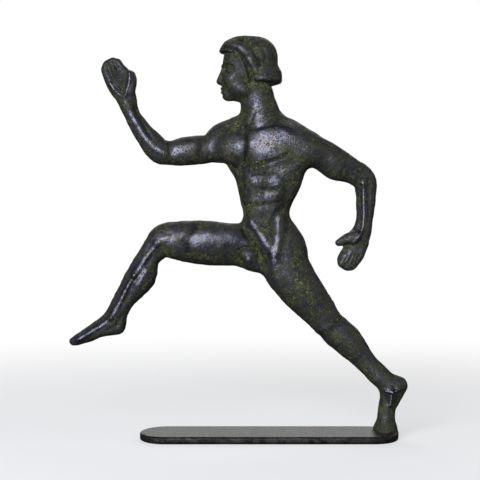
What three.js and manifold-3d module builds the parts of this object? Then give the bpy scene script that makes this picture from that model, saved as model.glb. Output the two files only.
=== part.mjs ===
// A bronze statuette of a running athlete, cast in one with its thin flat base.
//
// Millimetres, +Z up. The origin is the centre of the base's underside. The chest faces -Y, and
// the athlete runs towards -X. Left and right are the athlete's own, so the right limbs lead.
//
// The body is one smooth field. Each form gives the distance from a point to its skin, the forms
// melt into each other, and strokes raise or sink the skin. The surface where the field is
// nothing becomes a mesh, which is thinned where the skin is flat and joined to the base.

import * as THREE from "three";
import Module from "manifold-3d";
import { edgeTable, triTable } from "three/addons/objects/MarchingCubes.js";
import { mergeVertices } from "three/addons/utils/BufferGeometryUtils.js";

// Driving dimensions
const BASE = { length: 108.6, depth: 26, thickness: 3, end: 11, bevel: 0.6 };
const GRID = 1.25; // spacing of the lattice that samples the skin
const TRIANGLES = 8800; // what the athlete keeps after thinning
const MELT = 3; // forms that come closer than this run into each other
const LIMB_DEPTH = 0.92; // limbs are a little thinner front to back than across
const HAND_DEPTH = 0.5; // and palms much thinner

// Limbs run through stations: x, y, z and the half thickness across the run.
const RIGHT_ARM = {
  collar: [-13, 4.4, 126.1, 6.1],
  shoulder: [-19, 4.6, 124.5, 7.4],
  deltoidEnd: [-25, 3.8, 122.4, 5.9],
  upperArm: [-30, 3, 121.9, 6.2],
  biceps: [-35.9, 2.2, 121.2, 6],
  aboveElbow: [-41.3, 1.6, 120.5, 5.2],
  elbow: [-46, 1, 121.3, 5.3],
  forearm: [-49.7, 0.4, 125, 4.8],
  midForearm: [-54.1, -0.4, 130.7, 3.9],
  lowForearm: [-57.5, -1.2, 136.3, 3.3],
  wrist: [-59.3, -1.8, 141.6, 2.8],
};
const RIGHT_HAND = {
  wrist: [-59.7, -1.9, 142.6, 3.2],
  heel: [-61, -2, 146.1, 4.8],
  palm: [-62.7, -2, 150.3, 5.9],
  fingers: [-65.6, -2, 155.2, 4.8],
};
const RIGHT_FINGERS = {
  thumb: [[-58.8, -2.8, 145.4, 2.5], [-57.7, -3.2, 149.7, 2.5], [-58, -3, 152.4, 2.2]],
  index: [[-60.4, -2, 151, 2.2], [-62.3, -2.3, 155.2, 2.1], [-63.5, -2.4, 157.8, 1.9]],
  middle: [[-62.6, -1.8, 151.6, 2.2], [-64.5, -2.2, 156, 2.1], [-65.5, -2.4, 158.2, 1.9]],
  ring: [[-64.8, -1.8, 150.8, 2.2], [-66.6, -2.2, 155.2, 2], [-67.3, -2.4, 157.2, 1.8]],
  little: [[-66.2, -2, 149.6, 2.1], [-67.8, -2.3, 153.4, 1.9], [-68.4, -2.4, 155.4, 1.7]],
};
const LEFT_ARM = {
  collar: [8, -4.6, 125.1, 6.3],
  shoulder: [14.4, -4.8, 122.3, 6.9],
  deltoidEnd: [21.2, -3.4, 119.9, 6.4],
  biceps: [28.1, -1.6, 115.6, 6.7],
  aboveElbow: [35.1, 0.4, 112.7, 5.3],
  elbow: [40.1, 1.4, 109.3, 5],
  forearm: [41.1, 1.8, 103.6, 4.4],
  midForearm: [40.8, 1.6, 97, 3.9],
  lowForearm: [40.3, 1.2, 91.6, 3.3],
  wrist: [39.5, 0.8, 88.1, 2.8],
};
const LEFT_HAND = {
  wrist: [39.1, 0.6, 86.9, 3.1],
  back: [37.2, 0, 83.1, 5.1],
  knuckles: [35.6, -0.5, 79.1, 4.7],
  fingers: [33.4, -0.8, 75.4, 4.7],
};
const LEFT_FINGERS = {
  thumb: [[36.4, -1.4, 85.2, 2.7], [32.9, -1.8, 84, 2.5], [29.2, -1.8, 82.6, 1.5]],
  index: [[34.2, -0.8, 79, 2.3], [31.8, -1.1, 75.4, 2.2], [30.8, -1.2, 73.9, 1.9]],
  middle: [[35.8, -0.6, 78, 2.2], [33.9, -0.9, 74.4, 2.1], [33, -1, 72.8, 1.9]],
  ring: [[37.4, -0.6, 78.2, 2.2], [36, -0.8, 75, 2], [35.2, -0.9, 73.6, 1.8]],
  little: [[38.8, -0.6, 79.6, 2.1], [37.9, -0.8, 76.8, 1.9], [37.2, -0.9, 75.4, 1.7]],
};
const RIGHT_LEG = {
  hip: [-1, 3, 82, 9.1],
  groin: [-11, 2.4, 81.9, 8.8],
  upperThigh: [-20, 1.6, 81.5, 8.7],
  thigh: [-29.9, 0.8, 82.6, 9.1],
  aboveKnee: [-38.8, 0.2, 83.5, 8.1],
  knee: [-44.1, -0.2, 83.4, 6.7],
  belowKnee: [-50.6, -0.6, 76.5, 4.9],
  calf: [-53.9, -0.8, 68.3, 6.4],
  lowCalf: [-60.4, -0.9, 59.4, 4.7],
  ankle: [-64.4, -1, 52, 4.4],
};
const RIGHT_FOOT = {
  heel: [-63.9, -1, 47.6, 3.6],
  ankle: [-67.7, -1, 47.7, 4.4],
  instep: [-71.8, -1.1, 46.2, 3.6],
  ball: [-75.7, -1.2, 43.9, 2.8],
  toes: [-79.4, -1.2, 42.1, 1.6],
  tip: [-82.4, -1.1, 40.9, 1],
};
const LEFT_LEG = {
  hip: [5.3, -1.8, 81.7, 8.9],
  seat: [6.8, -1.4, 73.5, 9.8],
  upperThigh: [11.8, -1, 64.8, 9.1],
  thigh: [19.1, -0.6, 56.1, 7.8],
  knee: [25.4, -0.2, 48.4, 6.2],
  belowKnee: [28.8, 0, 45, 6.6],
  calf: [32.7, 0.2, 41.6, 6.4],
  midCalf: [36, 0.2, 38, 5.7],
  lowCalf: [39.1, 0.2, 34.3, 4.7],
  shin: [42.9, 0.1, 30.1, 4.4],
  aboveAnkle: [46.9, 0, 26.2, 4.5],
  ankle: [50.4, 0, 22.9, 4.5],
};
const LEFT_FOOT = {
  heel: [55, 0, 22.5, 3.5],
  arch: [51.6, 0, 17.7, 4.2],
  instep: [49.9, 0, 13.4, 3.7],
  ball: [49.3, 0, 9.7, 3.7],
  toes: [49.3, 0, 6, 4],
  sole: [49.2, 0, 1.8, 4.9],
};
const NECK = {
  nape: [-5.7, 0.4, 148, 6.6],
  throat: [-4.5, 0.3, 141.4, 7.5],
  root: [-3.4, 0.2, 136, 8.2],
  pit: [-3.6, 0.4, 130, 8.6],
};
const RIGHT_YOKE = {
  neck: [-7.3, 1.6, 133, 4.6],
  trapezius: [-14, 3, 130.9, 5.1],
  deltoid: [-18.7, 4.6, 127.7, 5.7],
};
const LEFT_YOKE = {
  neck: [1.4, 1.2, 132.5, 5.1],
  trapezius: [8.7, -0.8, 129.4, 5.2],
  deltoid: [14.9, -3.4, 125, 4.8],
};
// The trunk is a stack of level ovals: z, x, y, half width, half depth and turn in degrees.
const TRUNK = [
  [64, 8, -0.6, 6, 6, 10],
  [72, 5.8, -0.4, 9.1, 8, 12],
  [80, 3.9, 0, 11.7, 9, 14],
  [86, 1.6, 0.2, 11.4, 8.6, 16],
  [91, -0.5, 0, 10.7, 7.8, 17],
  [95, -1.1, -0.2, 9.9, 7.4, 18],
  [100, -0.9, -0.4, 11.5, 7.7, 20],
  [105, -0.2, -0.4, 13.5, 8.2, 22],
  [110, 0, -0.2, 15.3, 8.7, 24],
  [116, -0.6, 0, 18.4, 9, 26],
  [122, -1.4, 0.2, 17.8, 9, 26],
  [128, -2.6, 0.6, 15.6, 7.8, 26],
  [134, -3.8, 0.8, 10.6, 5.4, 24],
];
// Muscles that stand out: centre, radii, and how far the long side leans from +X towards +Z.
const MUSCLES = {
  leftChest: [[-0.6, -6.4, 122.6], [10.6, 3.8, 7.4], -6],
  rightChest: [[-14.8, -2.6, 122.2], [6.4, 4.4, 7], 6],
  ribs: [[-2.6, -5.8, 110.4], [8, 3.6, 7.6], 0],
  belly: [[-2.6, -4.6, 98], [7.2, 3.9, 11], 0],
  leftSeat: [[7.9, 3.4, 78.4], [7.4, 6.2, 9.2], 0],
  rightSeat: [[0.6, 6, 81], [8, 5, 9], 0],
  leftDeltoid: [[15.4, -5, 121.3], [8.2, 6.4, 5.6], -28],
  rightDeltoid: [[-19.6, 4.2, 124.9], [6.2, 6.6, 7], 0],
  leftBlade: [[8, 4.8, 121], [7.4, 4.2, 9], -14],
  rightBlade: [[-8, 7.4, 121.6], [7, 3.4, 9], 14],
  rightThighFront: [[-25.1, -1.2, 84.4], [16, 7, 6.6], 1],
  rightKneecap: [[-46, -1, 84.1], [3.4, 4, 3], -52],
  leftThighFront: [[12.1, -3.4, 65.9], [15, 5.6, 7.4], -56],
  leftKneecap: [[22.5, -1.2, 47.5], [3.8, 3.8, 2.6], -56],
  loin: [[-8.4, -4.6, 76.2], [3, 3.4, 3.6], 30],
  crotch: [[-6.9, 0.6, 73.5], [6.6, 5.6, 3], -16],
  rightToes: [[-78.2, -1.2, 43], [5.2, 4.2, 1.9], 27],
  leftToes: [[48.8, 0, 4.5], [4.4, 4.6, 2.4], 0],
};
const SKULL = { centre: [-8.6, 0.4, 158.4], radii: [11.8, 9.8, 11.4] };
const HAIR = [
  { centre: [-13.2, 0.4, 161.3], radii: [7.4, 8.6, 7.3] },
  { centre: [-4.2, 0.4, 161], radii: [7.7, 9, 7.9] },
  { centre: [-3.2, 0.4, 151.8], radii: [8.8, 9.5, 9] },
];
// The hair starts outside a circle around the face, stands out by lift, and ends at the nape.
const HAIRLINE = { x: -19.6, z: 149.4, radius: 13.2, lift: 1, nape: 149.6 };
// The face is a plain classical one: the head is four noses high, and the eyes sit half way up.
const FACE = {
  mask: [[-12.6, 0.4, 152], [7.3, 7.5, 10], 0],
  chin: [[-17.2, 0.4, 144.9], [2.6, 3, 2.7], 0],
  leftJaw: [[-12.6, -4.2, 147.4], [6, 3, 3.2], -30],
  rightJaw: [[-12.6, 5, 147.4], [6, 3, 3.2], -30],
  leftCheek: [[-15, -4.4, 151.4], [3.6, 3, 3.4], 0],
  rightCheek: [[-15, 5.2, 151.4], [3.6, 3, 3.4], 0],
  upperLip: [[-18.9, 0.4, 147.4], [1.3, 2.5, 0.8], 0],
  lowerLip: [[-18.6, 0.4, 145.9], [1.3, 2.1, 0.8], 0],
};
const NOSE = {
  bridge: [-18.2, 0.4, 156.4, 1.5],
  tip: [-20.4, 0.4, 150.7, 1.7],
};
const EYE = { x: -16.2, apart: 3.7, z: 155, radius: 2.1 };
const SOCKET = { height: -1.3, width: 3, inner: [-18.4, 2.4, 155.4], outer: [-16.6, 5.6, 155] };
const HEAD_MIDDLE = 0.4; // where the head's middle plane stands along Y

// How near the finer forms come before they run into each other
const SOFT = {
  finger: 0.7,
  neck: 1.4,
  face: 1.6,
  nose: 1,
  eye: 0.3,
  hair: 1.4,
  hairEdge: 0.8,
  trunkEnd: 3,
};

// Strokes on the front: height, half width, and the x and z that they pass through. A front
// stroke fades out over STROKE_FADE of depth at the sides, where the back strokes fade in.
const STROKE_FADE = 3;
const FRONT_STROKES = [
  [-1, 1.5, [-10, 129.5], [-9.8, 122], [-9.9, 116]],
  [-0.8, 1.5, [-9.4, 115.4], [-4, 114.8], [1, 115.4], [5.4, 117.4], [8.6, 119.8]],
  [-0.8, 1.5, [-9.6, 115.6], [-13, 116.6], [-16, 118.6]],
  [-0.8, 1.4, [-10, 129.6], [-6, 130.8], [-2, 132.2], [3, 133.6]],
  [-0.7, 1.3, [-10.6, 130], [-14, 132.2]],
  [-0.8, 1.4, [-5.8, 137], [-7.4, 134], [-9, 131]],
  [-0.5, 1.3, [-10, 114.6], [-7, 111.6], [-4, 110.2], [0, 110.4], [4, 112.6]],
  [-0.45, 1.2, [-7, 104], [-2, 104], [4, 104.4]],
  [-0.45, 1.2, [-9, 98.8], [-3, 98.6], [4, 99.6]],
  [-0.45, 1.3, [-3.4, 110], [-2.6, 104], [-2, 98], [-0.6, 90]],
  [-0.7, 1.7, [6.4, 111], [6.2, 105], [5.4, 100], [3.2, 95.5], [1.4, 91.5], [0.4, 87.6]],
  [0.9, 1.8, [-9, 90], [-5.4, 87], [-2, 83], [0.6, 79.6], [1, 76]],
  [0.9, 1.8, [4.4, 93.4], [4, 88], [2.8, 82.6], [1, 78]],
  [-0.8, 1.6, [-9.8, 87.6], [-5.8, 83.4], [-3.2, 79.8], [-1.8, 76]],
  [-0.5, 1.6, [7, 92], [6.6, 86], [4.8, 80], [3, 75]],
  [-0.6, 1.6, [-28.4, 117], [-28, 122], [-27.6, 127]],
  [0.4, 2, [-58, 137], [-56, 132.5], [-52, 126], [-48.6, 122.4]],
  [0.5, 1.8, [39.8, 107], [39.7, 93]],
  [0.6, 2, [-43, 84], [-48, 80], [-52, 74], [-58, 67], [-61.5, 61], [-64, 54]],
  [0.6, 2, [-64, 54], [-70, 48], [-79, 42.5]],
  [-0.5, 1.6, [-37, 90], [-36, 84], [-38, 78]],
  [-0.5, 1.4, [-59.8, 150], [-61.4, 145.6]],
];
// Strokes on the back, in the same form.
const BACK_STROKES = [
  [-1, 3.2, [-3.6, 132], [-2.6, 118], [-1.6, 106], [-0.4, 94], [1, 87]],
  [-1.2, 1.8, [2.4, 88], [4, 80], [4.6, 72], [3.4, 66]],
  [-0.6, 1.8, [-15, 116], [-9.4, 113.4], [-5, 116]],
  [-0.6, 1.8, [14, 114.4], [8, 112], [3, 114.4]],
  [-0.7, 1.8, [1, 72.6], [10, 69.8], [17, 72.6]],
  [-0.5, 1.6, [-6, 74], [-12, 78], [-10, 88]],
  [-0.5, 1.6, [35.6, 35.6], [31.4, 41], [28, 47]],
  [-0.5, 1.6, [-46, 78], [-50, 70], [-54, 62]],
];
// The athlete reaches half way into the base, so that the two become one casting.
const SOLE = BASE.thickness / 2;

// Smooth arithmetic
const clamp = THREE.MathUtils.clamp;
const degToRad = THREE.MathUtils.degToRad;

function melt(a, b, k) {
  const h = Math.max(k - Math.abs(a - b), 0) / k;
  return Math.min(a, b) - (h * h * k) / 4;
}

function keep(a, b, k) {
  return -melt(-a, -b, k);
}

// The value between the second and third of four numbers, on a smooth curve through all four
function along(p, q, r, s, t) {
  const slope = r - p;
  const bend = 2 * p - 5 * q + 4 * r - s;
  const twist = 3 * q - p - 3 * r + s;
  return q + (t * (slope + t * (bend + t * twist))) / 2;
}

function rowBetween(rows, i, t) {
  const last = rows.length - 1;
  const four = [Math.max(i - 1, 0), i, Math.min(i + 1, last), Math.min(i + 2, last)];
  return rows[i].map((_, k) => along(...four.map((n) => rows[n][k]), t));
}

// Forms
const STEPS = 4; // stretches between two stations of a run

function run(stations, depth = 1) {
  const rows = Object.values(stations);
  const fine = [];
  for (let i = 0; i + 1 < rows.length; i += 1) {
    for (let s = 0; s < STEPS; s += 1) fine.push(rowBetween(rows, i, s / STEPS));
  }
  fine.push(rows.at(-1));
  return (x, y, z) => {
    let nearest = Infinity;
    for (let i = 1; i < fine.length; i += 1) {
      const [ax, ay, az, ar] = fine[i - 1];
      const [bx, by, bz, br] = fine[i];
      const ux = bx - ax;
      const uy = (by - ay) / depth;
      const uz = bz - az;
      const px = x - ax;
      const py = (y - ay) / depth;
      const pz = z - az;
      const t = clamp((px * ux + py * uy + pz * uz) / (ux * ux + uy * uy + uz * uz), 0, 1);
      const dx = px - t * ux;
      const dy = py - t * uy;
      const dz = pz - t * uz;
      nearest = Math.min(nearest, Math.sqrt(dx * dx + dy * dy + dz * dz) - ar - t * (br - ar));
    }
    return nearest * Math.min(depth, 1);
  };
}

function oval([cx, cy, cz], [rx, ry, rz], lean = 0) {
  const c = Math.cos(degToRad(lean));
  const s = Math.sin(degToRad(lean));
  return (x, y, z) => {
    const px = ((x - cx) * c + (z - cz) * s) / rx;
    const py = (y - cy) / ry;
    const pz = ((z - cz) * c - (x - cx) * s) / rz;
    const reach = Math.sqrt(px * px + py * py + pz * pz);
    const slope = Math.sqrt((px / rx) ** 2 + (py / ry) ** 2 + (pz / rz) ** 2);
    return slope > 0 ? (reach * (reach - 1)) / slope : -Math.min(rx, ry, rz);
  };
}

function stack(rows) {
  const low = rows[0][0];
  const high = rows.at(-1)[0];
  const fine = [];
  for (let z = low; z <= high; z += 1) {
    const i = Math.min(rows.findLastIndex((row) => row[0] <= z), rows.length - 2);
    fine.push(rowBetween(rows, i, (z - rows[i][0]) / (rows[i + 1][0] - rows[i][0])));
  }
  return (x, y, z) => {
    const at = clamp(z - low, 0, high - low);
    const i = Math.min(Math.floor(at), fine.length - 2);
    const t = at - i;
    const [, cx, cy, rx, ry, turn] = fine[i].map((v, k) => v + t * (fine[i + 1][k] - v));
    const c = Math.cos(degToRad(turn));
    const s = Math.sin(degToRad(turn));
    const px = ((x - cx) * c - (y - cy) * s) / rx;
    const py = ((x - cx) * s + (y - cy) * c) / ry;
    const reach = Math.sqrt(px * px + py * py);
    const slope = Math.sqrt((px / rx) ** 2 + (py / ry) ** 2);
    const side = slope > 0 ? (reach * (reach - 1)) / slope : -ry;
    return keep(side, Math.max(low - z, z - high), SOFT.trunkEnd);
  };
}

function stroke([height, width, ...path]) {
  const flat = path[0].length === 2;
  const points = path.map((p) => (flat ? [p[0], 0, p[1]] : p));
  return (x, y, z) => {
    let nearest = Infinity;
    for (let i = 1; i < points.length; i += 1) {
      const [ax, ay, az] = points[i - 1];
      const ux = points[i][0] - ax;
      const uy = points[i][1] - ay;
      const uz = points[i][2] - az;
      const px = x - ax;
      const py = flat ? 0 : y - ay;
      const pz = z - az;
      const t = clamp((px * ux + py * uy + pz * uz) / (ux * ux + uy * uy + uz * uz), 0, 1);
      const d = (px - t * ux) ** 2 + (py - t * uy) ** 2 + (pz - t * uz) ** 2;
      nearest = Math.min(nearest, d);
    }
    const fall = 1 - nearest / (width * width);
    return fall > 0 ? height * fall * fall : 0;
  };
}

// The head: a face, and a cap of hair that stops at the hairline and rolls up at the nape
function head() {
  const [sx, sy, sz] = SKULL.radii;
  const caps = [SKULL, ...HAIR].map(({ centre, radii }) => oval(centre, radii));
  const skull = oval(SKULL.centre, [sx - HAIRLINE.lift, sy - HAIRLINE.lift, sz - HAIRLINE.lift]);
  const face = Object.values(FACE).map((form) => oval(...form));
  const nose = run(NOSE);
  const aside = ([px, apart, pz], side) => [px, HEAD_MIDDLE + side * apart, pz];
  const ball = [EYE.radius, EYE.radius, EYE.radius];
  const eyes = [-1, 1].map((side) => oval(aside([EYE.x, EYE.apart, EYE.z], side), ball));
  const { height, width, inner, outer } = SOCKET;
  const sockets = [-1, 1].map((side) => stroke([height, width, aside(inner, side), aside(outer, side)]));
  return (x, y, z) => {
    let skin = skull(x, y, z);
    for (const form of face) skin = melt(skin, form(x, y, z), SOFT.face);
    skin = melt(skin, nose(x, y, z), SOFT.nose);
    for (const hollow of sockets) skin -= hollow(x, y, z);
    for (const eye of eyes) skin = melt(skin, eye(x, y, z), SOFT.eye);
    const side = HAIRLINE.radius - Math.hypot(x - HAIRLINE.x, z - HAIRLINE.z);
    let hair = Infinity;
    for (const form of caps) hair = melt(hair, form(x, y, z), SOFT.hair);
    hair = keep(hair, side, SOFT.hairEdge);
    return Math.min(skin, keep(hair, HAIRLINE.nape - z, SOFT.hairEdge));
  };
}

function athlete() {
  const limbs = [RIGHT_ARM, LEFT_ARM, RIGHT_LEG, LEFT_LEG, NECK, RIGHT_YOKE, LEFT_YOKE];
  const forms = limbs.map((stations) => run(stations, LIMB_DEPTH));
  forms.push(...[RIGHT_HAND, LEFT_HAND].map((stations) => run(stations, HAND_DEPTH)));
  forms.push(...[RIGHT_FOOT, LEFT_FOOT].map((stations) => run(stations)));
  forms.push(stack(TRUNK));
  forms.push(...Object.values(MUSCLES).map((form) => oval(...form)));
  const fingers = [RIGHT_FINGERS, LEFT_FINGERS].flatMap(Object.values).map((row) => run(row));
  const top = head();
  const front = FRONT_STROKES.map(stroke);
  const back = BACK_STROKES.map(stroke);
  return (x, y, z) => {
    let skin = Infinity;
    for (const form of forms) skin = melt(skin, form(x, y, z), MELT);
    for (const finger of fingers) skin = melt(skin, finger(x, y, z), SOFT.finger);
    const facing = clamp(0.5 - y / STROKE_FADE, 0, 1);
    for (const line of front) skin -= facing * line(x, y, z);
    for (const line of back) skin -= (1 - facing) * line(x, y, z);
    return Math.max(melt(skin, top(x, y, z), SOFT.neck), SOLE - z);
  };
}

// Marching cubes: corners and edges of a cell in the order that the table of cases uses
const SQUARE = [[0, 0], [1, 0], [1, 1], [0, 1]];
const CORNERS = [0, 1].flatMap((level) => SQUARE.map(([a, b]) => [a, b, level]));
const RING = [[0, 1], [1, 2], [3, 2], [0, 3]];
const EDGES = [...RING, ...RING.map(([a, b]) => [a + 4, b + 4]), ...RING.map((_, n) => [n, n + 4])];
const SLOTS = 16; // entries that each case takes in the table
const BLOCK = 4; // lattice steps across a block whose distance from the skin is looked at first
const BLOCK_REACH = 1.2; // a block's middle further than this share of it from the skin skips it
const CLEAR = 0.06; // share of an edge that a vertex keeps from its ends

function surfaceOf(field, low, high) {
  const count = low.map((v, k) => Math.ceil((high[k] - v) / GRID) + 1);
  const at = (i, j, k) => i + count[0] * (j + count[1] * k);
  const depth = (i, j, k) => field(low[0] + i * GRID, low[1] + j * GRID, low[2] + k * GRID);
  const value = new Float64Array(count[0] * count[1] * count[2]);
  for (let k = 0; k < count[2]; k += BLOCK) {
    for (let j = 0; j < count[1]; j += BLOCK) {
      for (let i = 0; i < count[0]; i += BLOCK) {
        const middle = depth(i + BLOCK / 2, j + BLOCK / 2, k + BLOCK / 2);
        const far = Math.abs(middle) > BLOCK * GRID * BLOCK_REACH;
        for (let n = 0; n < BLOCK ** 3; n += 1) {
          const row = Math.floor(n / BLOCK);
          const cell = [i + (n % BLOCK), j + (row % BLOCK), k + Math.floor(row / BLOCK)];
          const inside = cell.every((v, axis) => v < count[axis]);
          if (inside) value[at(...cell)] = far ? middle : depth(...cell);
        }
      }
    }
  }
  const points = [];
  const faces = [];
  const made = new Map();
  const vertexOn = (cell, edge) => {
    const [a, b] = EDGES[edge].map((corner) => CORNERS[corner].map((v, axis) => cell[axis] + v));
    const axis = a.findIndex((v, n) => v !== b[n]);
    const key = at(...a) * 3 + axis;
    if (!made.has(key)) {
      const from = value[at(...a)];
      const t = clamp(from / (from - value[at(...b)]), CLEAR, 1 - CLEAR);
      made.set(key, points.length);
      points.push(a.map((v, n) => low[n] + GRID * (v + (n === axis ? t : 0))));
    }
    return made.get(key);
  };
  for (let k = 0; k + 1 < count[2]; k += 1) {
    for (let j = 0; j + 1 < count[1]; j += 1) {
      for (let i = 0; i + 1 < count[0]; i += 1) {
        let form = 0;
        CORNERS.forEach(([a, b, c], n) => {
          if (value[at(i + a, j + b, k + c)] < 0) form += 2 ** n;
        });
        if (!edgeTable[form]) continue;
        for (let s = form * SLOTS; triTable[s] >= 0; s += 3) {
          faces.push([2, 1, 0].map((n) => vertexOn([i, j, k], triTable[s + n])));
        }
      }
    }
  }
  return { points, faces };
}

// Thinning: again and again, the edges whose loss changes the skin least are drawn together
const SHARE = 0.12; // share of the edges that one pass may try
const HOLD = 2e-3; // weight that keeps a new vertex near the middle of its edge
const STEEPEST = 0.3; // least cosine between a face before and after

function minus(a, b) {
  return a.map((v, n) => v - b[n]);
}

function cross(a, b) {
  return [a[1] * b[2] - a[2] * b[1], a[2] * b[0] - a[0] * b[2], a[0] * b[1] - a[1] * b[0]];
}

function dot(a, b) {
  return a[0] * b[0] + a[1] * b[1] + a[2] * b[2];
}

// Where three planes of a symmetric set of equations meet
function solve([xx, xy, xz, yy, yz, zz], [x, y, z]) {
  const a = [xx, xy, xz];
  const b = [xy, yy, yz];
  const c = [xz, yz, zz];
  const scale = dot(a, cross(b, c));
  const sides = [cross(b, c), cross(c, a), cross(a, b)];
  return [0, 1, 2].map((n) => (sides[0][n] * x + sides[1][n] * y + sides[2][n] * z) / scale);
}

function thinned({ points, faces }, wanted) {
  const place = points.slice();
  const around = points.map(() => new Set());
  const planes = points.map(() => new Float64Array(10));
  const normal = (face, moved, to) => {
    const [a, b, c] = face.map((v) => (moved.includes(v) ? to : place[v]));
    return cross(minus(b, a), minus(c, a));
  };
  for (const face of faces) {
    const n = normal(face, [], null);
    const size = Math.hypot(...n);
    const [a, b, c] = n.map((v) => v / size);
    const d = -dot([a, b, c], place[face[0]]);
    const terms = [a * a, a * b, a * c, b * b, b * c, c * c, a * d, b * d, c * d, d * d];
    for (const v of face) {
      around[v].add(face);
      terms.forEach((term, k) => {
        planes[v][k] += term * size;
      });
    }
  }
  const neighbours = (v) => {
    const found = new Set();
    for (const face of around[v]) face.forEach((w) => found.add(w));
    found.delete(v);
    return found;
  };
  const merged = (a, b) => {
    const q = planes[a].map((v, k) => v + planes[b][k]);
    const hold = HOLD * (q[0] + q[3] + q[5]);
    const middle = place[a].map((v, n) => (v + place[b][n]) / 2);
    const side = middle.map((v, n) => hold * v - q[6 + n]);
    const to = solve([q[0] + hold, q[1], q[2], q[3] + hold, q[4], q[5] + hold], side);
    const [x, y, z] = to;
    const squares = q[0] * x * x + q[3] * y * y + q[5] * z * z;
    const mixed = q[1] * x * y + q[2] * x * z + q[4] * y * z;
    const cost = squares + 2 * (mixed + q[6] * x + q[7] * y + q[8] * z) + q[9];
    const length = dot(minus(place[a], place[b]), minus(place[a], place[b]));
    return { a, b, to, cost: cost + hold * length };
  };
  const canMerge = ({ a, b, to }) => {
    const shared = [...neighbours(a)].filter((v) => around[v].size && neighbours(b).has(v));
    if (shared.length !== 2) return false;
    for (const face of [...around[a], ...around[b]]) {
      if (face.includes(a) && face.includes(b)) continue;
      const before = normal(face, [], null);
      const after = normal(face, [a, b], to);
      if (dot(before, after) < STEEPEST * Math.hypot(...before) * Math.hypot(...after)) return false;
    }
    return true;
  };
  let count = faces.length;
  while (count > wanted) {
    const edges = [];
    place.forEach((_, a) => {
      for (const b of neighbours(a)) if (a < b) edges.push(merged(a, b));
    });
    edges.sort((p, q) => p.cost - q.cost);
    const touched = new Set();
    for (const edge of edges.slice(0, edges.length * SHARE)) {
      const { a, b, to } = edge;
      if (touched.has(a) || touched.has(b) || count <= wanted || !canMerge(edge)) continue;
      for (const v of [...neighbours(a), ...neighbours(b)]) touched.add(v);
      for (const face of [...around[b]]) {
        if (face.includes(a)) {
          for (const v of face) around[v].delete(face);
          count -= 1;
        } else {
          face[face.indexOf(b)] = a;
          around[a].add(face);
        }
      }
      around[b].clear();
      planes[b].forEach((v, k) => {
        planes[a][k] += v;
      });
      place[a] = to;
    }
  }
  const left = new Set(around.flatMap((set) => [...set]));
  const kept = new Map();
  const shell = [...left].map((face) =>
    face.map((v) => {
      if (!kept.has(v)) kept.set(v, kept.size);
      return kept.get(v);
    }),
  );
  return { points: [...kept.keys()].map((v) => place[v]), faces: shell };
}

// Solids
const NEAR = 1e-4; // corners closer than this are one
const wasm = await Module();
wasm.setup();

function solidFrom(positions, indices) {
  const vertProperties = new Float32Array(positions);
  const triVerts = new Uint32Array(indices);
  return new wasm.Manifold(new wasm.Mesh({ numProp: 3, vertProperties, triVerts }));
}

function solidOfGeometry(geometry) {
  geometry.deleteAttribute("normal");
  geometry.deleteAttribute("uv");
  const merged = mergeVertices(geometry, NEAR);
  return solidFrom(merged.attributes.position.array, merged.index.array);
}

const REACH = { low: [-90, -20, SOLE - GRID], high: [65, 22, 174] };

function athleteSolid() {
  const shell = thinned(surfaceOf(athlete(), REACH.low, REACH.high), TRIANGLES);
  return solidFrom(shell.points.flat(), shell.faces.flat());
}

function baseSolid() {
  const { length, depth, thickness, end, bevel } = BASE;
  const outline = new THREE.Shape();
  const straight = length / 2 - end;
  outline.absellipse(straight, 0, end - bevel, depth / 2 - bevel, -Math.PI / 2, Math.PI / 2);
  outline.absellipse(-straight, 0, end - bevel, depth / 2 - bevel, Math.PI / 2, (3 * Math.PI) / 2);
  const geometry = new THREE.ExtrudeGeometry(outline, {
    depth: thickness - 2 * bevel,
    bevelThickness: bevel,
    bevelSize: bevel,
    bevelSegments: 2,
    curveSegments: 10,
    steps: 1,
  });
  geometry.translate(0, 0, bevel);
  return solidOfGeometry(geometry);
}

function statuette() {
  const whole = baseSolid().add(athleteSolid());
  const { vertProperties, triVerts } = whole.getMesh();
  const geometry = new THREE.BufferGeometry();
  geometry.setAttribute("position", new THREE.BufferAttribute(vertProperties, 3));
  geometry.setIndex(new THREE.BufferAttribute(triVerts, 1));
  geometry.computeVertexNormals();
  const bronze = new THREE.MeshStandardMaterial({ color: 0x2b2f26, roughness: 0.45, metalness: 0.9 });
  const mesh = new THREE.Mesh(geometry, bronze);
  mesh.name = "athlete_and_base";
  return mesh;
}

const part = new THREE.Group();
part.add(statuette());

export default part;
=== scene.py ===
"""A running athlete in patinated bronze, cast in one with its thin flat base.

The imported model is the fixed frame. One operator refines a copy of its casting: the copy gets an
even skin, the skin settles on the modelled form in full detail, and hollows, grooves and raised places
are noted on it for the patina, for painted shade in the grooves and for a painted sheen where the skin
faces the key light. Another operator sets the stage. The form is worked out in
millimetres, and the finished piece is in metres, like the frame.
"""

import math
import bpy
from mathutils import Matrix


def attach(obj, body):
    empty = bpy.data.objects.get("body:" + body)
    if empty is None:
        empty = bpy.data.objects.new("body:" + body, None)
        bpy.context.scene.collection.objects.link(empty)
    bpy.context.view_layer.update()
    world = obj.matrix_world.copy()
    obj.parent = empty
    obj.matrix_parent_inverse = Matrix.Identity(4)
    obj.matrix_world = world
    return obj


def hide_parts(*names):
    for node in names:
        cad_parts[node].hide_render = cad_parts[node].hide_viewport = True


bl_info = {
    "name": "Running athlete",
    "version": (1, 0, 0),
    "blender": (4, 5, 0),
    "location": "3D View > Sidebar > Statuette",
    "description": "Builds a patinated bronze statuette of a running athlete on its base",
    "category": "Object",
}

import bmesh
import bpy
import numpy as np

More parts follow.
